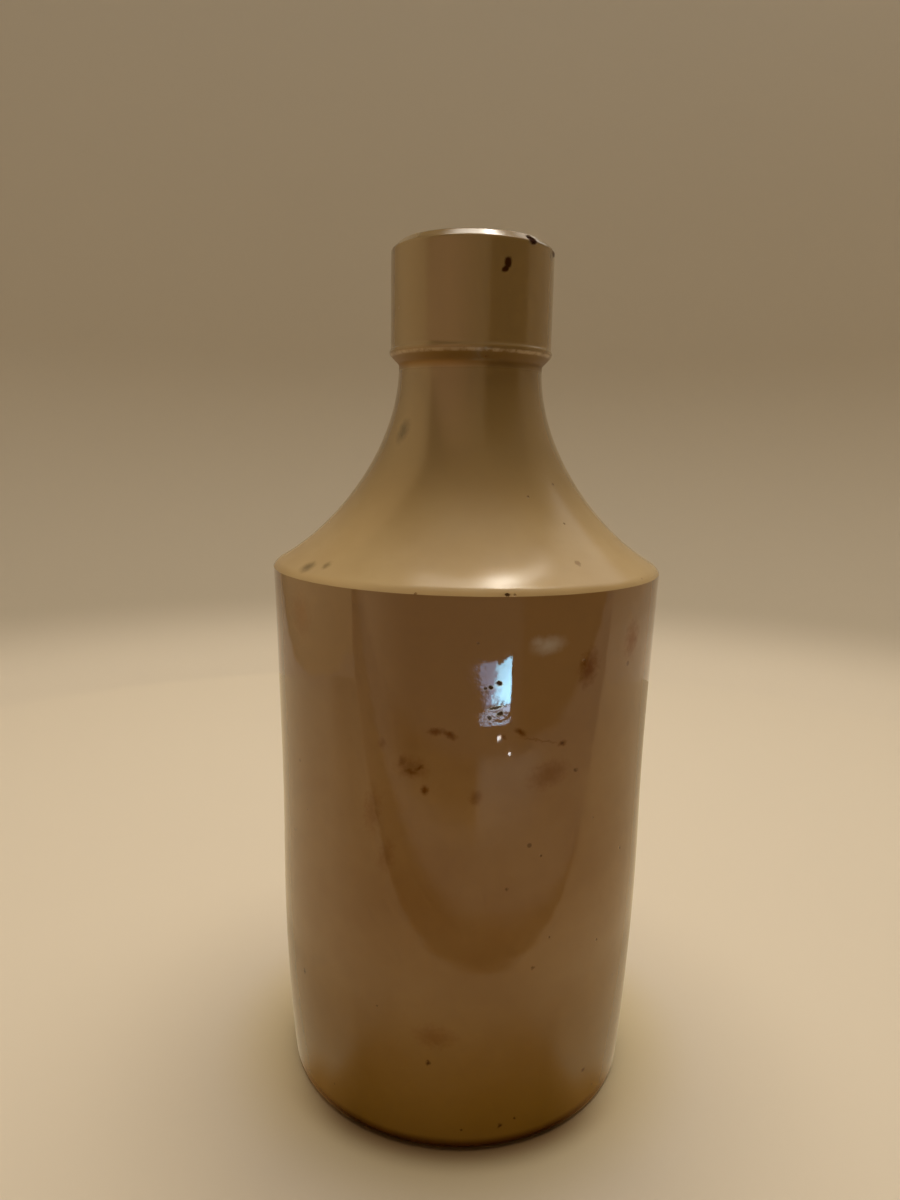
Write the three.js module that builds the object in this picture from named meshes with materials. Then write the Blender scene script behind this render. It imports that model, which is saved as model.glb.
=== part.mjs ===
// A glazed stoneware bottle: a thrown pot, a shoulder and neck luted on top of it, a lip collar
// set round the mouth, and a cork. Every piece is turned about the bottle's upright axis.
// Millimetres, +Z up, with the origin at the middle of the base.

import * as THREE from "three";

// Pot, from the foot to the shoulder seam
const potHeight = 107.9;
const potRadius = 38.33; // outside, where the wall stands plumb
const plumbHeight = 50;
const footInset = 1.95; // how far the wall draws in towards the foot
const footCurve = 21; // height over which the drawing in starts
const seamFlare = 1.2; // how far the wall leans out towards the seam
const seamCurve = 27; // height over which the leaning out ends
const potWall = 6;
const floorThickness = 8;
const heelRounding = 1.4;
const insideHeelRounding = 8;

// Lap joint between the pot and the shoulder, filled with slip on the real bottle
const lapDepth = 4;
const lapThickness = 3;
const slipGap = 0.3;

// Shoulder and neck
const neckRise = 40.1; // seam to the collar's seat
const neckRadius = 14.35; // outside, just under the collar
const neckWall = 4.75;
const neckSweep = 15; // how far the neck runs on upright before it flares
const shoulderSweep = 15; // how far the shoulder's slope runs on before it turns up
const shoulderSlope = THREE.MathUtils.degToRad(30);
const edgeRounding = 3;
const edgeLean = THREE.MathUtils.degToRad(25); // how far the edge still faces up at the seam
const straightBore = 4; // upright bore below the collar's seat
const boreSweep = 16;
const innerShoulderSweep = 12;

// Lip collar, which sits over a spigot on top of the neck
const collarRise = 23; // seat to the rim
const collarOverhang = 1.65; // how far the collar stands out from the neck
const spigotHeight = 7;
const spigotWall = 2.4;
const undersideSlope = THREE.MathUtils.degToRad(45);
const beadRounding = 1;
const beadTurn = THREE.MathUtils.degToRad(40); // how far the bead turns in above its widest point
const rimRounding = 1.3;
const mouthRounding = 1.5;

// Cork
const corkLength = 25;
const corkTaper = 0.5; // how much smaller the lower end's radius is
const corkClearance = 0.3;
const corkRecess = 1; // how far the cork's top lies below the rim
const corkChamfer = 0.8;

// Fineness of the turned shapes
const roundSegments = 48;
const sweepSteps = 10;
const wallSteps = 5;
const roundingSteps = 4;

// Sizes that follow from the ones above
const footRadius = potRadius - footInset;
const seamRadius = potRadius + seamFlare;
const hollowRadius = potRadius - potWall;
const lapRadius = hollowRadius + lapThickness;
const boreRadius = neckRadius - neckWall;
const seatHeight = potHeight + neckRise;
const spigotRadius = boreRadius + spigotWall;
const spigotTop = seatHeight + spigotHeight;
const rimHeight = seatHeight + collarRise;
const collarRadius = neckRadius + collarOverhang;

const RIGHT = 0;
const UP = Math.PI / 2;
const LEFT = Math.PI;
const DOWN = -Math.PI / 2;

function at(radius, height) {
  return new THREE.Vector2(radius, height);
}

function arc(centre, radius, fromAngle, toAngle) {
  const clockwise = toAngle < fromAngle;
  const curve = new THREE.EllipseCurve(centre.x, centre.y, radius, radius, fromAngle, toAngle, clockwise);
  return curve.getPoints(roundingSteps);
}

function sweep(start, startPull, endPull, end) {
  return new THREE.CubicBezierCurve(start, startPull, endPull, end).getPoints(sweepSteps);
}

function lean(start, pull, end) {
  return new THREE.QuadraticBezierCurve(start, pull, end).getPoints(wallSteps);
}

// One turned piece. Its outline runs up the outside and down the inside, as [radius, height] points;
// where two stretches of it meet, their shared point is kept once.
function turned(name, material, outline) {
  const apart = 1e-6;
  const points = outline.filter((p, i) => i === 0 || p.distanceTo(outline[i - 1]) > apart);
  const geometry = new THREE.LatheGeometry(points, roundSegments);
  geometry.rotateX(Math.PI / 2);
  const mesh = new THREE.Mesh(geometry, material);
  mesh.name = name;
  return mesh;
}

function bodyPot(material) {
  const heelCentre = at(footRadius - heelRounding, heelRounding);
  const insideHeel = at(hollowRadius - insideHeelRounding, floorThickness + insideHeelRounding);
  const wallFoot = at(footRadius, heelRounding);
  const plumb = at(potRadius, plumbHeight);
  const seam = at(seamRadius, potHeight);
  const ledgeHeight = potHeight - lapDepth;
  return turned("body_pot", material, [
    at(0, 0),
    ...arc(heelCentre, heelRounding, DOWN, RIGHT),
    ...lean(wallFoot, at(potRadius, heelRounding + footCurve), plumb),
    ...lean(plumb, at(potRadius, potHeight - seamCurve), seam),
    at(lapRadius, potHeight),
    at(lapRadius, ledgeHeight),
    at(hollowRadius, ledgeHeight),
    ...arc(insideHeel, insideHeelRounding, RIGHT, DOWN),
    at(0, floorThickness),
  ]);
}

function shoulderAndNeck(material) {
  const edgeCentre = at(
    seamRadius - edgeRounding * Math.cos(edgeLean),
    potHeight - edgeRounding * Math.sin(edgeLean),
  );
  const edge = arc(edgeCentre, edgeRounding, edgeLean, UP - shoulderSlope);
  const slopeFoot = edge.at(-1);
  const upSlope = at(-Math.cos(shoulderSlope), Math.sin(shoulderSlope));
  const neckTop = at(neckRadius, seatHeight);
  const boreFoot = at(boreRadius, seatHeight - straightBore);
  const innerFoot = at(hollowRadius, potHeight);
  const skirtRadius = lapRadius - slipGap;
  const skirtFoot = potHeight - lapDepth + slipGap;
  const seam = at(seamRadius, potHeight);
  return turned("shoulder_neck", material, [
    seam,
    ...edge,
    ...sweep(
      slopeFoot,
      slopeFoot.clone().addScaledVector(upSlope, shoulderSweep),
      at(neckRadius, seatHeight - neckSweep),
      neckTop,
    ),
    at(spigotRadius, seatHeight),
    at(spigotRadius, spigotTop),
    at(boreRadius, spigotTop),
    ...sweep(
      boreFoot,
      at(boreRadius, boreFoot.y - boreSweep),
      innerFoot.clone().addScaledVector(upSlope, innerShoulderSweep),
      innerFoot,
    ),
    at(hollowRadius, skirtFoot),
    at(skirtRadius, skirtFoot),
    at(skirtRadius, potHeight),
    seam,
  ]);
}

function lipCollar(material) {
  const beadCentreRadius = collarRadius - beadRounding * Math.cos(beadTurn);
  const undersideEnd = beadCentreRadius + beadRounding * Math.sin(undersideSlope);
  const undersideRise = (undersideEnd - neckRadius) * Math.tan(undersideSlope);
  const beadHeight = seatHeight + undersideRise + beadRounding * Math.cos(undersideSlope);
  const socketRadius = spigotRadius + slipGap;
  const socketTop = spigotTop + slipGap;
  const seat = at(neckRadius, seatHeight);
  return turned("lip_collar", material, [
    seat,
    ...arc(at(beadCentreRadius, beadHeight), beadRounding, undersideSlope - UP, beadTurn),
    ...arc(at(collarRadius - rimRounding, rimHeight - rimRounding), rimRounding, RIGHT, UP),
    ...arc(at(boreRadius + mouthRounding, rimHeight - mouthRounding), mouthRounding, UP, LEFT),
    at(boreRadius, socketTop),
    at(socketRadius, socketTop),
    at(socketRadius, seatHeight),
    seat,
  ]);
}

function corkStopper(material) {
  const topRadius = boreRadius - corkClearance;
  const footRadiusOfCork = topRadius - corkTaper;
  const top = rimHeight - corkRecess;
  const foot = top - corkLength;
  return turned("cork_stopper", material, [
    at(0, foot),
    at(footRadiusOfCork - corkChamfer, foot),
    at(footRadiusOfCork, foot + corkChamfer),
    at(topRadius, top - corkChamfer),
    at(topRadius - corkChamfer, top),
    at(0, top),
  ]);
}

const bodyGlaze = new THREE.MeshStandardMaterial({ color: 0xc2a684, roughness: 0.22, metalness: 0 });
const neckGlaze = new THREE.MeshStandardMaterial({ color: 0xc4a878, roughness: 0.24, metalness: 0 });
const cork = new THREE.MeshStandardMaterial({ color: 0xa67a4c, roughness: 0.9, metalness: 0 });

const bottle = new THREE.Group();
bottle.name = "stoneware_bottle";
bottle.add(bodyPot(bodyGlaze), shoulderAndNeck(neckGlaze), lipCollar(neckGlaze), corkStopper(cork));

export default bottle;
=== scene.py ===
# %% [markdown]
# # A glazed stoneware bottle
# This lesson dresses a small corked stoneware bottle. The bottle is four turned pieces: a thrown
# pot, a shoulder and neck luted onto it, a lip collar round the mouth, and a cork. The frame already
# holds each one as a plain solid at its real size. Here each solid gets a finer skin in the same
# place, with the small faults of a hand-made pot, and a finish built from shader nodes.

# %% Load the frame
from math import cos, hypot, radians, sin, tan, tau

import bmesh
import bpy
from mathutils import Euler, Matrix, Vector, noise
from mathutils.geometry import interpolate_bezier


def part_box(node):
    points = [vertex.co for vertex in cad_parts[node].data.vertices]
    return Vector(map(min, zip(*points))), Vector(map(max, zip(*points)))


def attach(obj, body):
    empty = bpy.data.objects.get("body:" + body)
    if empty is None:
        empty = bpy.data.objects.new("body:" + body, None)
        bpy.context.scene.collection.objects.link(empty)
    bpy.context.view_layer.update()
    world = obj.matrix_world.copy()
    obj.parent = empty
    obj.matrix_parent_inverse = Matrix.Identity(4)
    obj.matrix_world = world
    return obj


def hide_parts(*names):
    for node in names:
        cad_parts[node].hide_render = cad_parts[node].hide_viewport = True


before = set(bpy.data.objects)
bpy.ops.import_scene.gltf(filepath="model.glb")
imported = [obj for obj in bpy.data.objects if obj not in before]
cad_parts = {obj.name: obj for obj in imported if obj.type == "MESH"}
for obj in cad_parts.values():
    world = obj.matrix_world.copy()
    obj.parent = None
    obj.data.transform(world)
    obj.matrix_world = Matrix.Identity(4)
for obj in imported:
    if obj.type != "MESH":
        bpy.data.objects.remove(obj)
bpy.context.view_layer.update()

MM = 0.001

# %% [markdown]
# ## The camera
# The photograph was taken close up with a wide lens, a little above the shoulder, so the lens looks
# down on the foot and up at the rim. A camera close to the bottle gives the same strong perspective;
# a longer lens from further off would flatten it.

# %% Camera
EYE = Vector((0, -177.0, 132.2)) * MM
LENS = 25.5
NEAR_CLIP = 5 * MM
LOOK_DOWN = radians(10.28)
LOOK_LEFT = radians(1.03)
ROLL = radians(1.09)

camera = bpy.data.objects.new("camera", bpy.data.cameras.new("camera"))
camera.data.lens = LENS
camera.data.clip_start = NEAR_CLIP
aim = Matrix.Rotation(LOOK_LEFT, 3, "Z") @ Matrix.Rotation(tau / 4 - LOOK_DOWN, 3, "X")
camera.matrix_world = Matrix.Translation(EYE) @ (aim @ Matrix.Rotation(ROLL, 3, "Z")).to_4x4()
bpy.context.scene.collection.objects.link(camera)
bpy.context.scene.camera = camera
bpy.context.scene.view_settings.view_transform = "Standard"
print("camera", round(EYE.length, 3), "m from the origin, lens", LENS, "mm")

# %% [markdown]
# ## Node helpers
# Every finish below is a tree of shader nodes. Small helpers keep the trees readable: one adds a node
# with its settings and its inputs in a single call, a few do sums and masks, and one opens a node
# group with named sockets. A group is built once and placed in each material that shows the effect.

# %% Helpers that add nodes
def feed(tree, socket, value):
    """Give a socket a plain value, a colour, or another node's output."""
    if isinstance(value, bpy.types.NodeSocket):
        tree.links.new(value, socket)
    elif socket.type == "RGBA" and len(value) == 3:
        socket.default_value = (*value, 1.0)
    else:
        socket.default_value = value


def add(tree, kind, inputs=None, **settings):
    """Add one node with its own settings, and feed its inputs by name or number."""
    made = tree.nodes.new(kind)
    for name, value in settings.items():
        setattr(made, name, value)
    for name, value in (inputs or {}).items():
        feed(tree, made.inputs[name], value)
    return made


def open_material(name):
    """A new material, its tree, and the inputs of its Principled shader."""
    material = bpy.data.materials.new(name)
    material.use_nodes = True
    tree = material.node_tree
    return material, tree, tree.nodes["Principled BSDF"].inputs


def open_group(name, vectors=(), values=None, outputs=()):
    """A node group with vector inputs, number inputs with their defaults, and number outputs."""
    tree = bpy.data.node_groups.new(name, "ShaderNodeTree")
    for socket in vectors:
        tree.interface.new_socket(socket, in_out="INPUT", socket_type="NodeSocketVector")
    for socket, value in (values or {}).items():
        made = tree.interface.new_socket(socket, in_out="INPUT", socket_type="NodeSocketFloat")
        made.default_value = value
    for socket in outputs:
        tree.interface.new_socket(socket, in_out="OUTPUT", socket_type="NodeSocketFloat")
    return tree, add(tree, "NodeGroupInput").outputs, add(tree, "NodeGroupOutput").inputs


def use(tree, group, inputs):
    """Place a node group in a material and return its outputs."""
    made = tree.nodes.new("ShaderNodeGroup")
    made.node_tree = group
    for name, value in inputs.items():
        feed(tree, made.inputs[name], value)
    return made.outputs


print("materials and groups can be opened")

# %% Helpers for sums, masks and colours
def calc(tree, operation, first, second=0.0, clamp=False):
    """One sum on one or two values."""
    made = add(tree, "ShaderNodeMath", {0: first, 1: second}, operation=operation, use_clamp=clamp)
    return made.outputs[0]


def chain(tree, operation, first, *others):
    """The same sum run over several values in turn."""
    for value in others:
        first = calc(tree, operation, first, value)
    return first


def ease(tree, value, low, high, to_low=0.0, to_high=1.0):
    """Ease a value from one range into another."""
    inputs = {"Value": value, "From Min": low, "From Max": high, "To Min": to_low, "To Max": to_high}
    return add(tree, "ShaderNodeMapRange", inputs, interpolation_type="SMOOTHSTEP").outputs["Result"]


def between(tree, value, rise, fall):
    """A mask that rises over one range and falls over another."""
    return calc(tree, "MULTIPLY", ease(tree, value, *rise), ease(tree, value, *fall))


def band(tree, value, middle, inner, outer, strength):
    """A mask round one value: full within inner of it, and gone beyond outer."""
    away = calc(tree, "ABSOLUTE", calc(tree, "SUBTRACT", value, middle))
    return ease(tree, away, inner, outer, strength, 0.0)


def tint(tree, share, under, over):
    """Lay one colour over another by a share from 0 to 1."""
    UNDER, OVER, RESULT = 6, 7, 2
    made = add(tree, "ShaderNodeMix", data_type="RGBA")
    feed(tree, made.inputs[0], share)
    feed(tree, made.inputs[UNDER], under)
    feed(tree, made.inputs[OVER], over)
    return made.outputs[RESULT]


print("sums, masks and tints ready")

# %% Helpers for places and noise
def object_place(tree):
    """Object coordinates, whole and split into X, Y and Z."""
    where = add(tree, "ShaderNodeTexCoord").outputs["Object"]
    return where, add(tree, "ShaderNodeSeparateXYZ", {0: where}).outputs


def length(tree, vector):
    """How long a vector is."""
    return add(tree, "ShaderNodeVectorMath", {0: vector}, operation="LENGTH").outputs["Value"]


def ahead_of(tree, place, away):
    """How far a place lies towards the front: 1 straight ahead and -1 straight behind."""
    return calc(tree, "DIVIDE", calc(tree, "MULTIPLY", place["Y"], -1.0), away)


def cloud(tree, vector, size, detail=2.0, roughness=0.5):
    """Soft noise whose lumps are about size metres across."""
    inputs = {"Vector": vector, "Scale": 1 / size, "Detail": detail, "Roughness": roughness}
    return add(tree, "ShaderNodeTexNoise", inputs)


def wave(tree, vector, size, detail=2.0, roughness=0.5):
    """The same noise as a number that swings about zero."""
    return calc(tree, "SUBTRACT", cloud(tree, vector, size, detail, roughness).outputs["Fac"], 0.5)


print("places and noise ready")

# %% [markdown]
# ## Sizes
# The heights and widths come from the frame's boxes. The curves between them repeat the shape of the
# plain solids: a wall that draws in at the foot and leans out at the shoulder, a concave neck, a small
# bead under the collar. All radii are outside radii unless the name says otherwise.

# %% Sizes of the pot
pot_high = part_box("body_pot")[1]
SEAM_Z = pot_high.z
SEAM_R = pot_high.x
SEAM_CURVE = 27 * MM
PLUMB_Z = 50 * MM
PLUMB_R = 38.33 * MM
FOOT_R = 36.38 * MM
FOOT_CURVE = 21 * MM
HOLLOW_R = 32.33 * MM
FLOOR_Z = 8 * MM
HEEL = 1.4 * MM
INNER_HEEL = 8 * MM
LAP_R = 35.33 * MM
LAP_Z = SEAM_Z - 4 * MM
SLIP = 0.3 * MM
print("pot", round(2 * SEAM_R / MM, 1), "mm wide and", round(SEAM_Z / MM, 1), "mm tall")

# %% Sizes of the neck and the collar
collar_low, collar_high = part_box("lip_collar")
SEAT_Z = collar_low.z
RIM_Z = collar_high.z
NECK_R = 14.35 * MM
NECK_PULL = 15 * MM
SLOPE = 30
SLOPE_PULL = 15 * MM
EDGE = 3 * MM
EDGE_LEAN = 25
BORE_R = 9.6 * MM
SPIGOT_R = 12.0 * MM
SPIGOT_Z = SEAT_Z + 7 * MM
COLLAR_R = 16.0 * MM
FILLET = 1.0 * MM
UNDERSIDE = 45
BEAD = 1.0 * MM
BEAD_TURN = 40
BEVEL = 1.7 * MM
BEVEL_FACES = 48
BEVEL_FOOT = 0.6 * MM
BEVEL_TOP = 0.8 * MM
MOUTH = 1.5 * MM
print("collar", round(2 * COLLAR_R / MM, 1), "mm wide, rim at", round(RIM_Z / MM, 1), "mm")

# %% [markdown]
# ## Turning a piece
# A potter's wheel makes solids of revolution, and so does the spin operator: it carries an outline
# round the upright axis. Each outline is drawn as a few stretches, lines, arcs and Bezier curves, in
# the plane of radius and height. A mesh of triangles could be written out by hand, but spinning an
# outline keeps every piece round and every seam closed.

# %% Helpers for outlines and turning
SEGMENTS = 256
SAME_POINT = 0.001 * MM


def line(start, end, steps):
    """Points along a straight stretch."""
    return [tuple(Vector(start).lerp(Vector(end), i / steps)) for i in range(steps + 1)]


def arc(centre, radius, start, stop, steps):
    """Points round a circle; the angles are in degrees from straight out, turning upwards."""
    angles = [radians(start + (stop - start) * i / steps) for i in range(steps + 1)]
    return [(centre[0] + radius * cos(a), centre[1] + radius * sin(a)) for a in angles]


def sweep(start, start_pull, end_pull, end, steps):
    """Points along a Bezier curve with a pull at each end."""
    knots = [Vector((*point, 0)) for point in (start, start_pull, end_pull, end)]
    return [(p.x, p.y) for p in interpolate_bezier(*knots, steps + 1)]


def lean(start, pull, end, steps):
    """A curve that leaves start towards pull and arrives at end from it."""
    share = 2 / 3
    first = Vector(start).lerp(Vector(pull), share)
    second = Vector(end).lerp(Vector(pull), share)
    return sweep(start, first, second, end, steps)


def turn(stretches, closed):
    """Spin an outline made of stretches; points where two stretches meet are kept once."""
    outline = []
    for point in (p for stretch in stretches for p in stretch):
        if not outline or (Vector(point) - Vector(outline[-1])).length > SAME_POINT:
            outline.append(point)
    made = bmesh.new()
    corners = [made.verts.new((radius, 0, height)) for radius, height in outline]
    pairs = list(zip(corners, corners[1:]))
    if closed:
        pairs.append((corners[-1], corners[0]))
    edges = [made.edges.new(pair) for pair in pairs]
    bmesh.ops.spin(
        made, geom=corners + edges, axis=(0, 0, 1), cent=(0, 0, 0),
        angle=tau, steps=SEGMENTS, use_merge=True,
    )
    bmesh.ops.remove_doubles(made, verts=made.verts, dist=SAME_POINT)
    bmesh.ops.recalc_face_normals(made, faces=made.faces)
    made.verts.layers.float.new("bare")
    return made


print("outlines are spun in", SEGMENTS, "steps")

# %% [markdown]
# ## The hand of the potter
# A thrown pot is never quite round: it sways a little, and the fingers leave a faint spiral. The same
# gentle sway moves every clay piece, so the pieces still meet at their seams. The mouth is left true,
# because the cork has to slide in it. Nicks come after that: each pushes a small ragged dent towards
# the axis, in a patch of mesh that is made finer first.

# %% Helpers for sway and nicks
SWAY = 0.16 * MM
SWAY_SPAN = 34 * MM
FINGER = 0.004 * MM
FINGER_PITCH = 4.2 * MM
FINGER_SPAN = 9 * MM
TRUE_R = 11 * MM
TRUE_FADE = 3 * MM
FOOT_FADE = 2 * MM
NICK_RAGGED = 0.35
NICK_GRAIN = 0.4 * MM


def on_wall(azimuth, radius, height):
    """A point on the bottle: azimuth in degrees from the front, towards the right."""
    turned = radians(azimuth)
    return Vector((radius * sin(turned), -radius * cos(turned), height))


def sway(made):
    """Move each point of the clay in or out by the potter's unevenness."""
    for point in made.verts:
        radius = hypot(point.co.x, point.co.y)
        if radius < TRUE_R:
            continue
        outward = Vector((point.co.x, point.co.y, 0)) / radius
        spiral = Vector((1, 0)).angle_signed(outward.xy) + tau * point.co.z / FINGER_PITCH
        push = SWAY * noise.noise(point.co / SWAY_SPAN)
        push += FINGER * sin(spiral) * (1 + noise.noise(point.co / FINGER_SPAN))
        fade = min(1.0, (radius - TRUE_R) / TRUE_FADE) * min(1.0, point.co.z / FOOT_FADE)
        point.co += outward * push * fade


def refine(made, centre, reach, cuts):
    """Give the mesh more points within reach of a fault."""
    near = [e for e in made.edges if all((v.co - centre).length < reach for v in e.verts)]
    bmesh.ops.subdivide_edges(made, edges=near, cuts=cuts, use_grid_fill=True)


def nick(made, centre, reach, depth):
    """Push a small ragged dent towards the axis."""
    inward = -Vector((centre.x, centre.y, 0)).normalized()
    for point in made.verts:
        away = (point.co - centre).length / reach
        away += NICK_RAGGED * noise.noise(point.co / NICK_GRAIN)
        if away < 1:
            point.co += inward * depth * (1 - away * away)


print("sway up to", SWAY / MM, "mm")

# %% [markdown]
# ## From mesh to piece
# A finished mesh becomes an object that stands for one CAD node: it rides on that node's body, hides
# the plain solid, and takes its finish. Shading is smooth, and only edges sharper than the
# roundings stay crisp.

# %% Helper that finishes a piece
CRISP = radians(48)


def finish_piece(made, name, material, body, node):
    """Turn a bmesh into a piece that stands for a CAD node and rides on its body."""
    mesh = bpy.data.meshes.new(name)
    made.to_mesh(mesh)
    made.free()
    mesh.shade_smooth()
    mesh.set_sharp_from_angle(angle=CRISP)
    mesh.materials.append(material)
    piece = bpy.data.objects.new(name, mesh)
    bpy.context.scene.collection.objects.link(piece)
    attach(piece, body)
    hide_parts(node)
    print(name, len(mesh.vertices), "points,", len(mesh.polygons), "faces")


print("edges sharper than", round(CRISP * 360 / tau), "degrees stay crisp")

# %% [markdown]
# ## Shared glaze effects
# A stoneware glaze is a thin coat of glass. Iron in the clay burns through it as dark specks, and its
# skin is not flat: it has a slow ripple, low lumps, a fine orange peel and a few burst bubbles. Each of
# these is a node group with sizes as inputs, so the body and the neck can share them with values of
# their own. A third group is the bare clay.

# %% Node groups for the glaze
def specks_group():
    """Sparse iron specks: small balls scattered in space, seen where they meet the surface."""
    sizes = {"Spacing": 6 * MM, "Size": 0.5 * MM, "Share": 0.3}
    tree, given, out = open_group("iron_specks", ["Vector"], sizes, ["Speck"])
    per_metre = calc(tree, "DIVIDE", 1.0, given["Spacing"])
    inputs = {"Vector": given["Vector"], "Scale": per_metre, "Randomness": 1.0}
    cells = add(tree, "ShaderNodeTexVoronoi", inputs)
    away = calc(tree, "MULTIPLY", cells.outputs["Distance"], given["Spacing"])
    chance = add(tree, "ShaderNodeSeparateColor", {"Color": cells.outputs["Color"]}).outputs
    size = calc(tree, "MULTIPLY", given["Size"], calc(tree, "ADD", chance["Green"], 0.35))
    chosen = calc(tree, "LESS_THAN", chance["Red"], given["Share"])
    spot = ease(tree, calc(tree, "DIVIDE", away, size), 0.55, 1.0, 1.0, 0.0)
    feed(tree, out["Speck"], calc(tree, "MULTIPLY", spot, chosen))
    return tree


SKIN_LAYERS = [("Ripple", 14 * MM, 1.0), ("Lump", 4 * MM, 1.0), ("Peel", 1.2 * MM, 2.0)]
PINHOLE_SPACING = 7 * MM
PINHOLE_EDGE = (0.02, 0.05)


def skin_group():
    """Height of the glaze's skin in millimetres: ripple, lumps and orange peel, less the pinholes."""
    depths = {"Ripple": 0.08, "Lump": 0.012, "Peel": 0.004, "Pinhole": 0.12}
    tree, given, out = open_group("glaze_skin", ["Vector"], depths, ["Height", "Pit"])
    height = 0.0
    for layer, size, detail in SKIN_LAYERS:
        swing = wave(tree, given["Vector"], size, detail)
        height = calc(tree, "ADD", height, calc(tree, "MULTIPLY", swing, given[layer]))
    inputs = {"Vector": given["Vector"], "Scale": 1 / PINHOLE_SPACING, "Randomness": 1.0}
    away = add(tree, "ShaderNodeTexVoronoi", inputs).outputs["Distance"]
    hole = ease(tree, away, *PINHOLE_EDGE, 1.0, 0.0)
    height = calc(tree, "SUBTRACT", height, calc(tree, "MULTIPLY", hole, given["Pinhole"]))
    feed(tree, out["Height"], height)
    feed(tree, out["Pit"], hole)
    return tree


CLAY_SMEAR = 5 * MM
CLAY_RELIEF = 0.08


def clay_group():
    """Bare fired clay, where the glaze is wiped off: a tone, and a grainy height in millimetres."""
    tree, given, out = open_group("bare_clay", ["Vector"], {"Grain": 0.4 * MM}, ["Tone", "Height"])
    per_metre = calc(tree, "DIVIDE", 1.0, given["Grain"])
    inputs = {"Vector": given["Vector"], "Scale": per_metre, "Detail": 4.0, "Roughness": 0.65}
    grain = add(tree, "ShaderNodeTexNoise", inputs).outputs["Fac"]
    smear = cloud(tree, given["Vector"], CLAY_SMEAR, 2.0).outputs["Fac"]
    tone = calc(tree, "ADD", calc(tree, "MULTIPLY", grain, 0.6), calc(tree, "MULTIPLY", smear, 0.5))
    feed(tree, out["Tone"], tone)
    feed(tree, out["Height"], calc(tree, "MULTIPLY", grain, CLAY_RELIEF))
    return tree


IRON_SPECKS = specks_group()
GLAZE_SKIN = skin_group()
BARE_CLAY = clay_group()
print("groups", [g.name for g in (IRON_SPECKS, GLAZE_SKIN, BARE_CLAY)])

# %% [markdown]
# ## The outside faces
# The faces that show are drawn first, because the marks on the glaze are placed on them. The wall is
# two gentle curves that meet where it stands plumb. The shoulder starts with a rounded edge, runs up a
# slope of thirty degrees and sweeps into the neck. A small fillet of glaze fills the crease under the
# collar, whose lower edge is a bead and whose rim is bevelled.

# %% Outlines of the wall and the shoulder
pot_wall = arc((FOOT_R - HEEL, HEEL), HEEL, -90, 0, 6)
pot_wall += lean((FOOT_R, HEEL), (PLUMB_R, HEEL + FOOT_CURVE), (PLUMB_R, PLUMB_Z), 60)
pot_wall += lean((PLUMB_R, PLUMB_Z), (PLUMB_R, SEAM_Z - SEAM_CURVE), (SEAM_R, SEAM_Z), 72)

edge_centre = (SEAM_R - EDGE * cos(radians(EDGE_LEAN)), SEAM_Z - EDGE * sin(radians(EDGE_LEAN)))
shoulder_face = arc(edge_centre, EDGE, EDGE_LEAN, 90 - SLOPE, 12)
slope_foot = Vector(shoulder_face[-1])
slope_pull = slope_foot + SLOPE_PULL * Vector((-cos(radians(SLOPE)), sin(radians(SLOPE))))
neck_pull = (NECK_R, SEAT_Z - NECK_PULL)
fillet_foot = SEAT_Z - FILLET * tan(radians(UNDERSIDE / 2))
fillet_centre = (NECK_R + FILLET, fillet_foot)
shoulder_face += sweep(slope_foot, slope_pull, neck_pull, (NECK_R, fillet_foot), 80)
shoulder_face += arc(fillet_centre, FILLET, 180, 180 - UNDERSIDE / 2, 4)
print("points on the wall", len(pot_wall), "and the shoulder", len(shoulder_face))

# %% Outline of the collar
bead_r = COLLAR_R - BEAD * cos(radians(BEAD_TURN))
bead_end_r = bead_r + BEAD * sin(radians(UNDERSIDE))
bead_z = SEAT_Z + (bead_end_r - NECK_R) + BEAD * cos(radians(UNDERSIDE))
collar_face = arc(fillet_centre, FILLET, 180 - UNDERSIDE / 2, 180 - UNDERSIDE, 4)
collar_face += arc((bead_r, bead_z), BEAD, -UNDERSIDE, BEAD_TURN, 14)

bevel_out, bevel_up = cos(radians(BEVEL_FACES)), sin(radians(BEVEL_FACES))
rim_r = COLLAR_R - BEVEL_FOOT * (1 - bevel_out) - BEVEL * bevel_up - BEVEL_TOP * bevel_out
band_z = RIM_Z - BEVEL_TOP * (1 - bevel_up) - BEVEL * bevel_out - BEVEL_FOOT * bevel_up
collar_face += line(collar_face[-1], (COLLAR_R, band_z), 30)
collar_face += arc((COLLAR_R - BEVEL_FOOT, band_z), BEVEL_FOOT, 0, BEVEL_FACES, 6)
rim_arc = arc((rim_r, RIM_Z - BEVEL_TOP), BEVEL_TOP, BEVEL_FACES, 90, 6)
collar_face += line(collar_face[-1], rim_arc[0], 6)
collar_face += rim_arc


def radius_at(height):
    """The bottle's outside radius at a height."""
    outside = pot_wall + shoulder_face + collar_face
    return min(outside, key=lambda point: abs(point[1] - height))[0]


print("points on the collar", len(collar_face))

# %% [markdown]
# ## Marks of age
# The real bottle has marks that anyone would know it by: a black spot on the collar, brown scratches
# and dots on the front, soft brown stains, and a pale smear. Each is an ellipse laid on the wall at an
# azimuth and a height, and its edge is broken up by noise. They could be painted on a texture, but
# then they would need a picture; as distances from a point they stay sharp at any size.

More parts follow.
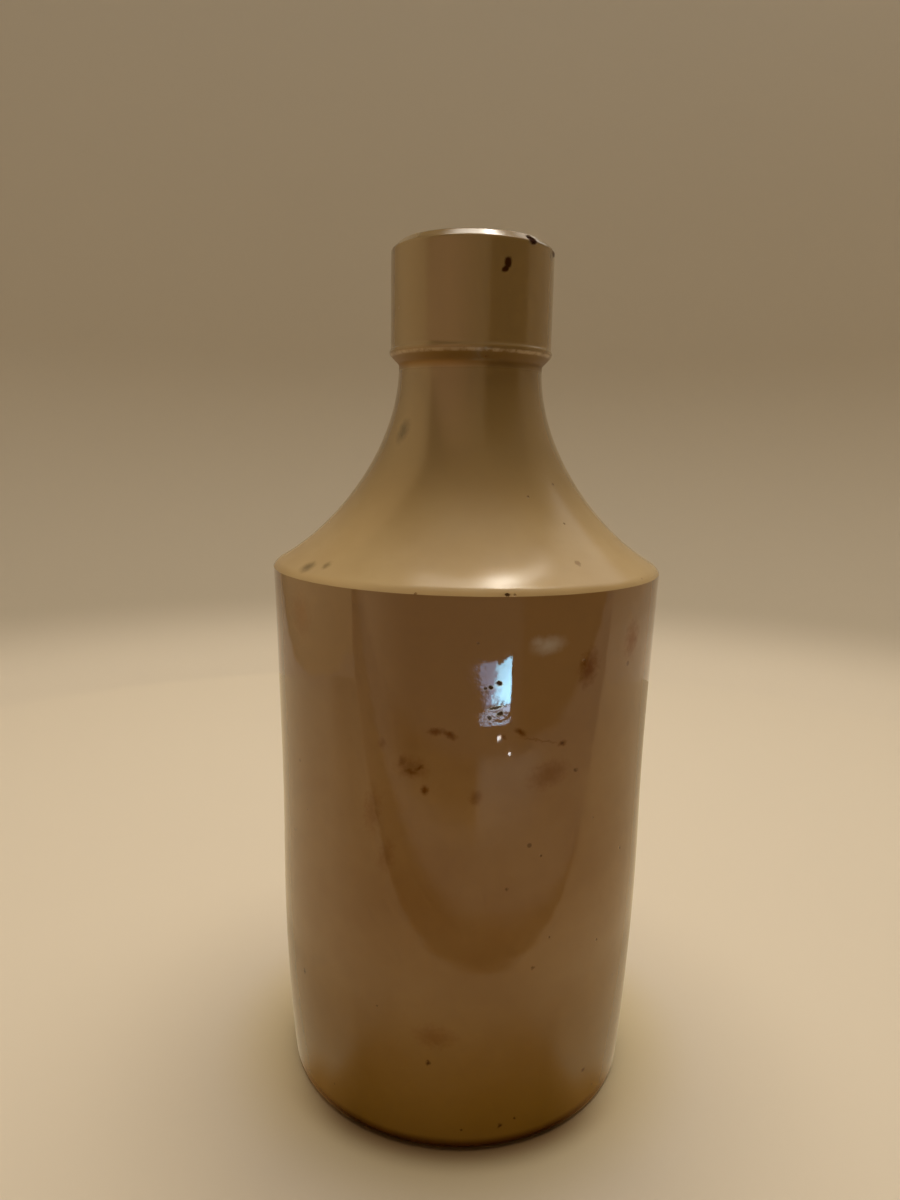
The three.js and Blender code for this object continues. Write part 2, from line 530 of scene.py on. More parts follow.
# %% Marks on the body
# Each mark: azimuth and height of its middle, half its width and height in mm, tilt, strength.
BODY_FLECKS = [
    (27.0, 81.3, 0.7, 0.55, 0, 0.7), (32.1, 75.7, 0.7, 0.5, 30, 0.6),
    (12.9, 54.9, 0.4, 0.4, 0, 0.5), (21.4, 38.6, 0.5, 0.5, 0, 0.6),
    (-22.8, 29.3, 0.4, 0.4, 0, 0.6), (-7.6, 19.5, 0.6, 0.7, 0, 0.85), (43.4, 10.7, 0.8, 0.7, 0, 1.0),
    (14.0, 5.3, 0.7, 0.6, 0, 0.8), (18.6, 6.3, 0.5, 0.5, 0, 0.7), (-53.4, 72.5, 0.5, 0.6, 0, 0.6),
    (-53.6, 27.8, 0.6, 0.9, 0, 0.6),
]
BODY_SCRATCHES = [
    (-6.6, 84.2, 2.1, 1.0, -8, 0.9), (-3.2, 83.8, 2.0, 0.9, 24, 1.0), (-15.3, 78.2, 1.2, 1.9, 20, 0.6),
    (-13.2, 76.6, 2.4, 0.9, 8, 0.85), (-10.8, 77.3, 1.8, 0.8, -40, 0.85), (-9.5, 73.4, 1.0, 1.4, 10, 1.0),
    (15.0, 84.2, 1.7, 0.9, 28, 1.0), (10.4, 83.4, 0.9, 0.6, 40, 0.7), (20.5, 82.3, 5.5, 0.3, 13, 0.45),
    (27.0, 81.3, 1.2, 0.9, 0, 0.8), (4.0, 72.4, 1.6, 2.2, 15, 0.5), (-21.0, 81.0, 1.0, 1.6, 10, 0.35),
]
BODY_PITS = [
    (9.0, 93.0, 0.75, 0.6, 40, 1.0), (6.9, 92.3, 0.6, 0.5, 0, 1.0), (5.6, 92.1, 0.5, 0.35, 0, 0.9),
    (9.4, 87.6, 0.9, 0.45, -20, 1.0), (8.2, 88.7, 1.6, 0.35, -8, 0.9), (6.8, 86.9, 0.6, 0.4, 30, 0.9),
]
BODY_STAINS = [
    (34.3, 94.4, 3.0, 4.6, 12, 1.0), (51.9, 98.0, 3.4, 5.0, 8, 0.9), (23.5, 75.8, 5.6, 3.4, -14, 0.55),
    (-5.9, 25.2, 5.4, 3.2, 0, 0.45), (-50.0, 101.5, 4.5, 6.0, -12, 0.45), (-13.0, 77.2, 4.4, 2.8, 0, 0.4),
    (-24.0, 68.0, 2.2, 7.0, 4, 0.35), (-20.0, 60.0, 2.2, 5.0, 14, 0.3), (160.0, 62.0, 6.0, 9.0, 20, 0.3),
    (118.0, 34.0, 4.0, 6.0, -15, 0.3), (-128.0, 84.0, 5.0, 4.0, 10, 0.35), (205.0, 18.0, 6.0, 3.0, 0, 0.3),
]
BODY_SMEARS = [(21.5, 99.3, 4.4, 2.2, -8, 0.5), (18.8, 99.9, 2.2, 1.6, 0, 0.4)]
BODY_PITTING = [(3.4, 92.5, 2.4, 6.0, 0, 0.6), (7.4, 86.9, 4.2, 1.6, 0, 0.6)]
print("stains on the body", len(BODY_STAINS))

# %% Marks on the neck and the collar
NECK_FLECKS = [
    (23.8, 165.1, 0.95, 1.15, 18, 1.0), (21.8, 163.9, 0.7, 0.95, 35, 1.0), (35.8, 112.2, 0.7, 0.5, 0, 0.5),
    (-60.0, 158.0, 0.4, 0.4, 0, 0.5), (150.0, 160.0, 0.5, 0.6, 0, 0.7), (-140.0, 126.0, 0.6, 0.5, 0, 0.6),
]
NECK_PITS = [
    (43.8, 169.9, 1.6, 1.5, 6, 1.0), (77.0, 169.2, 2.4, 1.0, -12, 0.6), (128.0, 169.4, 1.2, 0.6, 0, 0.9),
    (-152.0, 169.5, 1.0, 0.5, 0, 0.9), (10.3, 108.2, 0.65, 0.32, 0, 0.8),
]
NECK_STAINS = [
    (-48.3, 134.8, 2.3, 3.3, 10, 1.0), (-51.1, 109.9, 2.6, 1.3, 0, 0.6), (-44.0, 110.6, 1.3, 0.9, 0, 0.45),
    (74.0, 168.6, 3.5, 1.4, -12, 0.8), (55.0, 169.6, 4.0, 0.8, 0, 0.5), (170.0, 118.0, 4.0, 3.0, 0, 0.35),
]
print("stains on the neck", len(NECK_STAINS))

# %% Node groups for the marks
WANDER_SPAN = 1.1 * MM
MARK_DEPTH = 4 * MM
RIM_MARK_DEPTH = 1.4 * MM


def marks_group(name, marks, sharpness, raggedness, depth=MARK_DEPTH):
    """One mask that is 1 inside the marks and falls off at their ragged edges."""
    tree, given, out = open_group(name, ["Vector"], outputs=["Mark"])
    wander = cloud(tree, given["Vector"], WANDER_SPAN, 3.0, 0.6).outputs["Color"]
    inputs = {0: wander, 1: (0.5, 0.5, 0.5)}
    wander = add(tree, "ShaderNodeVectorMath", inputs, operation="SUBTRACT").outputs[0]
    inputs = {0: wander, "Scale": raggedness}
    wander = add(tree, "ShaderNodeVectorMath", inputs, operation="SCALE").outputs[0]
    inputs = {0: given["Vector"], 1: wander}
    ragged = add(tree, "ShaderNodeVectorMath", inputs, operation="ADD").outputs[0]
    mask = 0.0
    for azimuth, height, half_width, half_height, tilt, strength in marks:
        inputs = {
            "Vector": ragged,
            "Location": on_wall(azimuth, radius_at(height * MM), height * MM),
            "Rotation": (0, radians(tilt), radians(azimuth)),
            "Scale": (half_width * MM, depth, half_height * MM),
        }
        local = add(tree, "ShaderNodeMapping", inputs, vector_type="TEXTURE").outputs[0]
        shape = ease(tree, length(tree, local), sharpness, 1.0, strength, 0.0)
        mask = calc(tree, "MAXIMUM", mask, shape)
    feed(tree, out["Mark"], mask)
    print(name, len(marks), "marks")
    return tree


BODY_MARKS = {
    "fleck": marks_group("body_flecks", BODY_FLECKS, 0.0, 1.2 * MM),
    "stain": marks_group("body_stains", BODY_STAINS, 0.0, 3.0 * MM),
    "smear": marks_group("body_smears", BODY_SMEARS, 0.0, 1.0 * MM),
    "scratch": marks_group("body_scratches", BODY_SCRATCHES, 0.0, 1.4 * MM),
    "pit": marks_group("body_pits", BODY_PITS, 0.5, 0.6 * MM),
    "pitting": marks_group("body_pitting", BODY_PITTING, 0.5, 1.5 * MM),
}
NECK_MARKS = {
    "fleck": marks_group("neck_flecks", NECK_FLECKS, 0.55, 0.9 * MM),
    "stain": marks_group("neck_stains", NECK_STAINS, 0.0, 0.9 * MM),
    "pit": marks_group("neck_pits", NECK_PITS, 0.6, 0.8 * MM, RIM_MARK_DEPTH),
}

# %% [markdown]
# ## The glaze
# One function makes both glazes, and each gets its own tones, marks and gloss. The colour starts from
# two tones mixed in soft patches, and painted shade makes it darker and warmer towards the foot. On the
# neck, the shoulder's pale tone is painted light where it faces the lamp, and the neck and collar above
# it take a darker tone. Painted shade darkens the crease under the collar and the heel by the floor, and
# a painted highlight lies along the bead. Stains, flecks and smears lie over it, and bare clay shows on
# the underside. A thin clear coat lies on top: the body's gloss is sharp, and the neck's is softer.

# %% Masks and colour of a glaze
FLECK = (0.14, 0.05, 0.008)
SMEAR = (0.60, 0.55, 0.50)
# Painted shade in the crease under the collar's bead.
COLLAR_UNDERSIDE_SHADE = (0.20, 0.10, 0.01)
# Painted shade on the lowest few millimetres of the wall, next to the floor.
HEEL_SHADE = (0.10, 0.022, 0.0)
PIT_DARK = (0.06, 0.016, 0.001)
# A painted highlight along the lower curve of the collar's bead.
BEAD_HIGHLIGHT = (0.58, 0.44, 0.27)
CLAY_DARK = (0.14, 0.07, 0.028)
CLAY_PALE = (0.36, 0.25, 0.15)
# Height over which a painted shade darkens and warms the glaze towards the foot.
FOOT_SHADE_HEIGHT = 50 * MM
HEEL_REACH = (0.8 * MM, 3.2 * MM)
CREASE_Z = SEAT_Z + 0.5 * MM
CREASE_REACH = (0.5 * MM, 2.2 * MM)
CREST_Z = bead_z - 0.6 * MM
CREST_REACH = (0.1 * MM, 0.45 * MM)


def glaze_masks(tree, where, height, fine, pinholes, marks, speck_share):
    """Where the glaze is marked or gone, and where shade or a highlight is painted on it, each as a share
    from 0 to 1.
    """
    masks = {kind: use(tree, group, {"Vector": where})["Mark"] for kind, group in marks.items()}
    masks["bare"] = add(tree, "ShaderNodeAttribute", attribute_name="bare").outputs["Fac"]
    # Painted shade: the heel band next to the floor.
    masks["heel"] = ease(tree, height, *HEEL_REACH, 0.95, 0.0)
    # Painted shade: the crease under the collar.
    masks["crease"] = band(tree, height, CREASE_Z, *CREASE_REACH, 0.75)
    # A painted highlight on the bead, broken up by noise.
    crest = band(tree, height, CREST_Z, *CREST_REACH, 0.6)
    masks["crest"] = calc(tree, "MULTIPLY", crest, ease(tree, fine, 0.35, 0.6))
    if "scratch" in masks:
        masks["stain"] = calc(tree, "MAXIMUM", masks["stain"], masks["scratch"])
    specks = use(tree, IRON_SPECKS, {"Vector": where, "Share": speck_share})["Speck"]
    specks = calc(tree, "MULTIPLY", specks, 0.45)
    holes = calc(tree, "MULTIPLY", pinholes, 0.5)
    masks["fleck"] = chain(tree, "MAXIMUM", masks["fleck"], specks, holes)
    return masks


def glaze_colour(tree, height, drift, fine, clay_tone, masks, tones):
    """Two tones in soft patches, with painted shade warmer and darker towards the foot, and each mask's
    colour laid over them.
    """
    colour = tint(tree, ease(tree, drift, 0.3, 0.72), tones["pale"], tones["deep"])
    colour = tint(tree, ease(tree, fine, 0.45, 0.8, 0.0, 0.22), colour, tones["deep"])
    # Painted shade: darker and warmer towards the foot.
    colour = tint(tree, ease(tree, height, 0.0, FOOT_SHADE_HEIGHT, 0.7, 0.0), colour, tones["foot"])
    # A darker top tone; on the neck it covers the neck and collar above the shoulder's painted-light pale
    # tone.
    colour = tint(tree, ease(tree, height, *tones["top_reach"]), colour, tones["top"])
    clay = tint(tree, clay_tone, CLAY_DARK, CLAY_PALE)
    layers = [
        ("heel", HEEL_SHADE), ("crease", COLLAR_UNDERSIDE_SHADE), ("crest", BEAD_HIGHLIGHT), ("stain", tones["stain"]),
        ("smear", SMEAR), ("fleck", FLECK), ("bare", clay), ("pit", PIT_DARK),
    ]
    for kind, over in layers:
        if kind in masks:
            colour = tint(tree, masks[kind], colour, over)
    return colour


print("glaze colours ready")

# %% Gloss and skin of a glaze
ROUGHER = {"stain": 0.05, "crease": 0.4, "smear": 0.25, "fleck": 0.12, "bare": 0.6}
METALLIC = {"fleck": 0.85, "stain": 0.4, "crease": 0.6, "pit": 0.85, "heel": 0.6}
UNCOATED = ("bare", "fleck", "crease", "pit")
COAT_CHANGE = (SEAM_Z + 8 * MM, SEAM_Z + 28 * MM)
FLECK_SINK = 0.012
PITTING_SPAN = 0.8 * MM
PITTING_SINK = 0.05


def glaze_rough(tree, drift, masks, rough, pit_rough):
    """A roughness that drifts a little, and rises where the glaze is marked."""
    rough = calc(tree, "MULTIPLY", ease(tree, drift, 0.3, 0.7, 0.95, 1.15), rough)
    for kind, amount in {**ROUGHER, "pit": pit_rough}.items():
        if kind in masks:
            added = calc(tree, "MULTIPLY", masks[kind], amount)
            rough = calc(tree, "ADD", rough, added, clamp=True)
    return rough


def glaze_metal(tree, masks):
    """Metal takes the white sheen off the dark places: the iron in flecks and stains, the pits, and the
    painted shade at the heel and under the collar.
    """
    return chain(tree, "MAXIMUM", *(calc(tree, "MULTIPLY", masks[k], v) for k, v in METALLIC.items()))


def glaze_coat(tree, height, masks, coat, collar_coat):
    """The weight of the clear coat, from the shoulder's to the collar's, with holes at the marks."""
    dull = chain(tree, "MAXIMUM", *(masks[kind] for kind in UNCOATED))
    coat = ease(tree, height, *COAT_CHANGE, coat, collar_coat)
    return calc(tree, "MULTIPLY", coat, calc(tree, "SUBTRACT", 1.0, dull))


def glaze_bump(tree, where, skin_height, clay_height, masks):
    """The skin of the glaze, sunk at the flecks and the pitting, and grainy where the clay is bare."""
    sunk = calc(tree, "SUBTRACT", skin_height, calc(tree, "MULTIPLY", masks["fleck"], FLECK_SINK))
    sunk = calc(tree, "ADD", sunk, calc(tree, "MULTIPLY", clay_height, masks["bare"]))
    if "pitting" in masks:
        pits = cloud(tree, where, PITTING_SPAN, 2.0).outputs["Fac"]
        pits = chain(tree, "MULTIPLY", pits, PITTING_SINK, masks["pitting"])
        sunk = calc(tree, "SUBTRACT", sunk, pits)
    bump = add(tree, "ShaderNodeBump", {"Height": sunk, "Strength": 1.0, "Distance": MM})
    return bump.outputs["Normal"]


print("glaze gloss ready")

# %% Glaze materials
GLAZE_IOR = 1.52
DRIFT_SPAN = 26 * MM
FINE_SPAN = 2.2 * MM


def glaze(name, tones, marks, speck_share, rough, pit_rough, gloss, coat, collar_coat, coat_rough, lump):
    """One glaze, from its tones, its marks and its gloss."""
    material, tree, surface = open_material(name)
    where, place = object_place(tree)
    height = place["Z"]
    drift = cloud(tree, where, DRIFT_SPAN, 3.0, 0.55).outputs["Fac"]
    fine = cloud(tree, where, FINE_SPAN, 4.0, 0.6).outputs["Fac"]
    skin = use(tree, GLAZE_SKIN, {"Vector": where, "Lump": lump})
    clay = use(tree, BARE_CLAY, {"Vector": where})
    masks = glaze_masks(tree, where, height, fine, skin["Pit"], marks, speck_share)
    colour = glaze_colour(tree, height, drift, fine, clay["Tone"], masks, tones)
    feed(tree, surface["Base Color"], colour)
    feed(tree, surface["Roughness"], glaze_rough(tree, drift, masks, rough, pit_rough))
    feed(tree, surface["Metallic"], glaze_metal(tree, masks))
    feed(tree, surface["Coat Weight"], glaze_coat(tree, height, masks, coat, collar_coat))
    feed(tree, surface["Normal"], glaze_bump(tree, where, skin["Height"], clay["Height"], masks))
    feed(tree, surface["Specular IOR Level"], gloss)
    feed(tree, surface["Coat Roughness"], coat_rough)
    feed(tree, surface["IOR"], GLAZE_IOR)
    print(name, len(tree.nodes), "nodes")
    return material


# The body's foot tone is painted shade near the floor.
BODY_TONES = {
    "pale": (0.352, 0.208, 0.082), "deep": (0.298, 0.162, 0.055), "foot": (0.235, 0.125, 0.002),
    "top": (0.285, 0.164, 0.067), "top_reach": (68 * MM, 106 * MM), "stain": (0.23, 0.078, 0.0),
}
# The neck's pale and deep tones are painted light: the shoulder faces the lamp above and is made far paler
# than the body. Its top tone brings the neck and collar back down near the body's deep tone.
NECK_TONES = {
    "pale": (0.52, 0.37, 0.18), "deep": (0.45, 0.305, 0.135), "foot": (0.45, 0.305, 0.135),
    "top": (0.258, 0.163, 0.056), "top_reach": (SEAM_Z + 3 * MM, SEAM_Z + 25 * MM),
    "stain": (0.075, 0.048, 0.012),
}
BODY_GLAZE = glaze(
    "body_glaze", BODY_TONES, BODY_MARKS, speck_share=0.10, rough=0.035, pit_rough=0.5, gloss=0.5,
    coat=0.25, collar_coat=0.25, coat_rough=0.03, lump=0.010,
)
NECK_GLAZE = glaze(
    "neck_glaze", NECK_TONES, NECK_MARKS, speck_share=0.07, rough=0.215, pit_rough=0.8, gloss=0.32,
    coat=0.3, collar_coat=0.9, coat_rough=0.18, lump=0.018,
)

# %% [markdown]
# ## The cork's finish
# Cork is bark: a soft brown ground with short dark pores that run across it and a crumbly surface.
# Plain noise gives the ground and the crumbs, and noise drawn out sideways gives the pores. The pores
# also sink in the bump, so they catch less light.

# %% Cork material
CORK_PALE = (0.47, 0.28, 0.13)
CORK_DARK = (0.30, 0.155, 0.06)
CORK_PORE = (0.07, 0.03, 0.012)
GROUND_SPAN = 3.5 * MM
CRUMB_SPAN = 0.45 * MM
PORE_SPAN = 2.4 * MM
PORE_STRETCH = (1, 0.35, 2.2)


def cork_finish():
    """Cork: a soft ground, crumbs and sideways pores."""
    material, tree, surface = open_material("cork")
    where = object_place(tree)[0]
    across = add(tree, "ShaderNodeMapping", {"Vector": where, "Scale": PORE_STRETCH}).outputs[0]
    ground = cloud(tree, where, GROUND_SPAN, 5.0, 0.65).outputs["Fac"]
    crumb = cloud(tree, where, CRUMB_SPAN, 3.0, 0.7).outputs["Fac"]
    pores = ease(tree, cloud(tree, across, PORE_SPAN, 3.0, 0.6).outputs["Fac"], 0.60, 0.70)
    colour = tint(tree, ease(tree, ground, 0.35, 0.7), CORK_PALE, CORK_DARK)
    colour = tint(tree, ease(tree, crumb, 0.5, 0.8, 0.0, 0.45), colour, CORK_DARK)
    colour = tint(tree, pores, colour, CORK_PORE)
    raised = calc(tree, "MULTIPLY", crumb, 0.12)
    height = calc(tree, "SUBTRACT", raised, calc(tree, "MULTIPLY", pores, 0.3))
    bump = add(tree, "ShaderNodeBump", {"Height": height, "Strength": 1.0, "Distance": MM})
    feed(tree, surface["Base Color"], colour)
    feed(tree, surface["Roughness"], ease(tree, crumb, 0.2, 0.8, 0.75, 0.95))
    feed(tree, surface["Normal"], bump.outputs["Normal"])
    return material


CORK = cork_finish()
print("cork", len(CORK.node_tree.nodes), "nodes")

# %% [markdown]
# ## The pot
# The pot is the thrown cylinder with its floor. Its top edge is a rebate that takes the shoulder's
# skirt, as on the plain solid. The underside is bare clay, because the bottle was wiped there before
# it stood in the kiln, so the points of the underside are marked bare.

# %% Pot
WIPED_Z = 0.02 * MM

made = turn([
    line((0, 0), (FOOT_R - HEEL, 0), 12),
    pot_wall,
    line((SEAM_R, SEAM_Z), (LAP_R, SEAM_Z), 3),
    line((LAP_R, SEAM_Z), (LAP_R, LAP_Z), 3),
    line((LAP_R, LAP_Z), (HOLLOW_R, LAP_Z), 2),
    line((HOLLOW_R, LAP_Z), (HOLLOW_R, FLOOR_Z + INNER_HEEL), 20),
    arc((HOLLOW_R - INNER_HEEL, FLOOR_Z + INNER_HEEL), INNER_HEEL, 0, -90, 8),
    line((HOLLOW_R - INNER_HEEL, FLOOR_Z), (0, FLOOR_Z), 8),
], closed=False)
sway(made)
bare = made.verts.layers.float["bare"]
for point in made.verts:
    if point.co.z < WIPED_Z:
        point[bare] = 1.0
finish_piece(made, "pot", BODY_GLAZE, "bottle", "body_pot")

# %% [markdown]
# ## The shoulder and neck
# This piece was thrown separately and stuck on with slip. Its skirt hangs inside the pot's rebate, its
# outside sweeps up to the collar, and a spigot on top carries the collar. The edge at the seam has one
# small nick at the front.

# %% Shoulder and neck
INNER_SLOPE_PULL = 12 * MM
BORE_PULL = 16 * MM
BORE_FOOT = SEAT_Z - 4 * MM
SKIRT_R = LAP_R - SLIP
SKIRT_Z = LAP_Z + SLIP
SEAM_CLOSE_R = SEAM_R - 0.1 * MM
EDGE_NICK = on_wall(10.3, SEAM_R, SEAM_Z + 0.2 * MM)

inner_pull = (
    HOLLOW_R - INNER_SLOPE_PULL * cos(radians(SLOPE)),
    SEAM_Z + INNER_SLOPE_PULL * sin(radians(SLOPE)),
)
made = turn([
    shoulder_face,
    line(shoulder_face[-1], (SPIGOT_R, shoulder_face[-1][1]), 2),
    line((SPIGOT_R, SEAT_Z), (SPIGOT_R, SPIGOT_Z), 4),
    line((SPIGOT_R, SPIGOT_Z), (BORE_R, SPIGOT_Z), 2),
    line((BORE_R, SPIGOT_Z), (BORE_R, BORE_FOOT), 6),
    sweep((BORE_R, BORE_FOOT), (BORE_R, BORE_FOOT - BORE_PULL), inner_pull, (HOLLOW_R, SEAM_Z), 24),
    line((HOLLOW_R, SEAM_Z), (HOLLOW_R, SKIRT_Z), 2),
    line((HOLLOW_R, SKIRT_Z), (SKIRT_R, SKIRT_Z), 2),
    line((SKIRT_R, SKIRT_Z), (SKIRT_R, SEAM_Z), 3),
    line((SKIRT_R, SEAM_Z), (SEAM_CLOSE_R, SEAM_Z), 3),
], closed=True)
sway(made)
refine(made, EDGE_NICK, reach=2.5 * MM, cuts=3)
nick(made, EDGE_NICK, reach=0.6 * MM, depth=0.2 * MM)
finish_piece(made, "shoulder_and_neck", NECK_GLAZE, "bottle", "shoulder_neck")

# %% [markdown]
# ## The lip collar
# The collar is a plain band with a bead along its lower edge and a bevelled rim. Its rim has been
# knocked: two nicks show at the right of the front and two smaller ones at the back.

# %% Lip collar
SOCKET_R = SPIGOT_R + SLIP
SOCKET_Z = SPIGOT_Z + SLIP
# Each nick: azimuth, reach and depth in mm.
RIM_NICKS = [(44, 1.1, 0.35), (76, 1.6, 0.3), (128, 1.1, 0.3), (-152, 0.9, 0.3)]
NICK_R = COLLAR_R - 0.3 * MM
NICK_Z = RIM_Z - 0.9 * MM

made = turn([
    collar_face,
    line((rim_r, RIM_Z), (BORE_R + MOUTH, RIM_Z), 6),
    arc((BORE_R + MOUTH, RIM_Z - MOUTH), MOUTH, 90, 180, 10),
    line((BORE_R, RIM_Z - MOUTH), (BORE_R, SOCKET_Z), 14),
    line((BORE_R, SOCKET_Z), (SOCKET_R, SOCKET_Z), 2),
    line((SOCKET_R, SOCKET_Z), (SOCKET_R, collar_face[0][1]), 4),
    line((SOCKET_R, collar_face[0][1]), collar_face[0], 3)[:-1],
], closed=True)
sway(made)
for azimuth, reach, depth in RIM_NICKS:
    middle = on_wall(azimuth, NICK_R, NICK_Z)
    refine(made, middle, reach=3 * MM, cuts=2)
    nick(made, middle, reach * MM, depth * MM)
finish_piece(made, "collar", NECK_GLAZE, "bottle", "lip_collar")

# %% [markdown]
# ## The cork
# The cork is a short taper cut from bark, pressed just below the rim. Real corks have pits where the
# pores open, so noise sinks small pits into the turned shape. It never swells past its outline,
# because it has to slide in the mouth.

# %% Cork
cork_low, cork_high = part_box("cork_stopper")
CORK_TOP_R = cork_high.x
CORK_FOOT_R = CORK_TOP_R - 0.5 * MM
CORK_EDGE = 0.8 * MM
PIT = 0.35 * MM
PIT_SPAN = 1.6 * MM
PIT_FROM = 0.3
PIT_GAIN = 2.2
CRUMB = 0.06 * MM
CRUMB_SIZE = 0.8 * MM

made = turn([
    line((0, cork_low.z), (CORK_FOOT_R - CORK_EDGE, cork_low.z), 10),
    arc((CORK_FOOT_R - CORK_EDGE, cork_low.z + CORK_EDGE), CORK_EDGE, -90, 0, 5),
    line((CORK_FOOT_R, cork_low.z + CORK_EDGE), (CORK_TOP_R, cork_high.z - CORK_EDGE), 70),
    arc((CORK_TOP_R - CORK_EDGE, cork_high.z - CORK_EDGE), CORK_EDGE, 0, 90, 5),
    line((CORK_TOP_R - CORK_EDGE, cork_high.z), (0, cork_high.z), 24),
], closed=False)
made.normal_update()
for point in made.verts:
    stretched = Vector([part * factor for part, factor in zip(point.co, PORE_STRETCH)])
    pore = max(0.0, noise.noise(stretched / PIT_SPAN) - PIT_FROM) * PIT_GAIN
    crumb = 0.5 + 0.5 * noise.noise(point.co / CRUMB_SIZE)
    point.co -= point.normal * (PIT * min(1.0, pore) + CRUMB * crumb)
finish_piece(made, "cork", CORK, "cork", "cork_stopper")

# %% [markdown]
# ## The floor
# The bottle stands in a round, pale sweep, so that every side has the same quiet background. A flat
# plane and a wall would show a line where they meet. The paper deepens as it rises, and a warm shadow is
# painted on it close round the foot.

# %% Floor
FLOOR_PALE = (0.68, 0.595, 0.47)
WALL_PALE = (0.44, 0.375, 0.28)
WALL_RISE = 30 * MM
FLOOR_SHADE = (0.64, 0.48, 0.12)
SHADE_REACH = (36 * MM, 56 * MM)
# A painted shadow just in front of the foot.
FLOOR_FOOT_SHADOW = (0.22, 0.11, 0.03)
FOOT_REACH = (35.5 * MM, 42.5 * MM)
PAPER_ROUGH = 0.7
SWEEP_FLAT = 0.32
SWEEP_BEND = 0.20
SWEEP_TOP = 0.65
SWEEP_DROP = 0.1 * MM


def stage_object(name, mesh, material):
    """An object that is part of the stage and not of the bottle."""
    made = bpy.data.objects.new(name, mesh)
    made.data.materials.append(material)
    bpy.context.scene.collection.objects.link(made)
    return made


def paper():
    """Matt paper that deepens as it rises into the wall, with a painted shadow close round the foot."""
    material, tree, surface = open_material("paper")
    where, place = object_place(tree)
    away = length(tree, where)
    colour = tint(tree, ease(tree, place["Z"], 0.0, WALL_RISE), FLOOR_PALE, WALL_PALE)
    # Painted shadow: a warm shade round the foot, and a dark brown one just in front of it.
    colour = tint(tree, ease(tree, away, *SHADE_REACH, 0.35, 0.0), colour, FLOOR_SHADE)
    near = ease(tree, away, *FOOT_REACH, 0.9, 0.0)
    near = calc(tree, "MULTIPLY", near, ease(tree, ahead_of(tree, place, away), 0.45, 0.9))
    colour = tint(tree, near, colour, FLOOR_FOOT_SHADOW)
    feed(tree, surface["Base Color"], colour)
    feed(tree, surface["Roughness"], PAPER_ROUGH)
    return material


made = turn([
    line((0, 0), (SWEEP_FLAT, 0), 8),
    arc((SWEEP_FLAT, SWEEP_BEND), SWEEP_BEND, -90, 0, 16),
    line((SWEEP_FLAT + SWEEP_BEND, SWEEP_BEND), (SWEEP_FLAT + SWEEP_BEND, SWEEP_TOP), 4),
], closed=False)
bmesh.ops.translate(made, verts=made.verts, vec=(0, 0, -SWEEP_DROP))
sweep_mesh = bpy.data.meshes.new("sweep")
made.to_mesh(sweep_mesh)
made.free()
sweep_mesh.shade_smooth()
stage_object("sweep", sweep_mesh, paper())
print("sweep", SWEEP_FLAT + SWEEP_BEND, "m from the middle to the wall")

# %% [markdown]
# ## The light
# One broad, warm lamp hangs above and a little behind the bottle, and the sweep throws its light back
# onto the front. Reflections don't see the lamp. What the glaze mirrors comes from cards, a
# photographer's way to draw soft shapes on a shiny thing: only reflections see them, so they shape the
# gloss and leave the light on the clay alone.

# %% Lamp and fill
WARM = (1.0, 0.93, 0.82)
LAMP_PLACE = Vector((0.05, 0.14, 0.82))
LAMP_TARGET = Vector((0.02, 0.02, 0))
LAMP_SIZE = 0.80
LAMP_POWER = 3.6
LAMP_SPREAD = radians(130)
FILL = 0.04

softbox = bpy.data.objects.new("softbox", bpy.data.lights.new("softbox", "AREA"))
softbox.data.shape = "DISK"
softbox.data.size = LAMP_SIZE
softbox.data.energy = LAMP_POWER
softbox.data.spread = LAMP_SPREAD
softbox.data.color = WARM
softbox.location = LAMP_PLACE
softbox.rotation_euler = (LAMP_TARGET - LAMP_PLACE).to_track_quat("-Z", "Y").to_euler()
softbox.visible_glossy = False
bpy.context.scene.collection.objects.link(softbox)

world = bpy.data.worlds.new("fill")
world.use_nodes = True
feed(world.node_tree, world.node_tree.nodes["Background"].inputs["Color"], WARM)
feed(world.node_tree, world.node_tree.nodes["Background"].inputs["Strength"], FILL)
bpy.context.scene.world = world
print("lamp", LAMP_SIZE, "m wide,", LAMP_POWER, "W")

# %% Helpers for reflection cards
FLOOR_GLOW = (0.60, 0.465, 0.28)


def card(name, width, height, place, turned, material):
    """A flat card that only reflections see, turned by Euler angles in degrees."""
    made = bmesh.new()
    bmesh.ops.create_grid(made, x_segments=1, y_segments=1, size=0.5)
    stand = Euler([radians(angle) for angle in turned]).to_matrix().to_4x4()
    stand = Matrix.Translation(place) @ stand @ Matrix.Diagonal((width, height, 1, 1))
    bmesh.ops.transform(made, matrix=stand, verts=made.verts)
    mesh = bpy.data.meshes.new(name)
    made.to_mesh(mesh)
    made.free()
    shown = stage_object(name, mesh, material)
    shown.visible_camera = False
    shown.visible_diffuse = False
    shown.visible_shadow = False
    shown.visible_transmission = False
    print(name, round(width, 4), "by", round(height, 4), "m")


def glow_material(name):
    """A black material that only glows, with its tree and its shader's inputs."""
    material, tree, inputs = open_material(name)
    feed(tree, inputs["Base Color"], (0, 0, 0))
    feed(tree, inputs["Specular IOR Level"], 0.0)
    return material, tree, inputs


def plain_glow(name, colour, strength):
    """A glow that is the same all over."""
    material, tree, inputs = glow_material(name)
    feed(tree, inputs["Emission Color"], colour)
    feed(tree, inputs["Emission Strength"], strength)
    return material


print("cards glow in their own colours")

# %% [markdown]
# ## The dark card
# A glossy pot in a light sweep would mirror the sweep and look milky. The dark card stands in front, so
# the body mirrors dim tones instead. Its lower edge shows on the glaze as a deep curve like a bowl.
# Above the curve lie a grey stretch, a dark one and a warm one, each with softer patches.

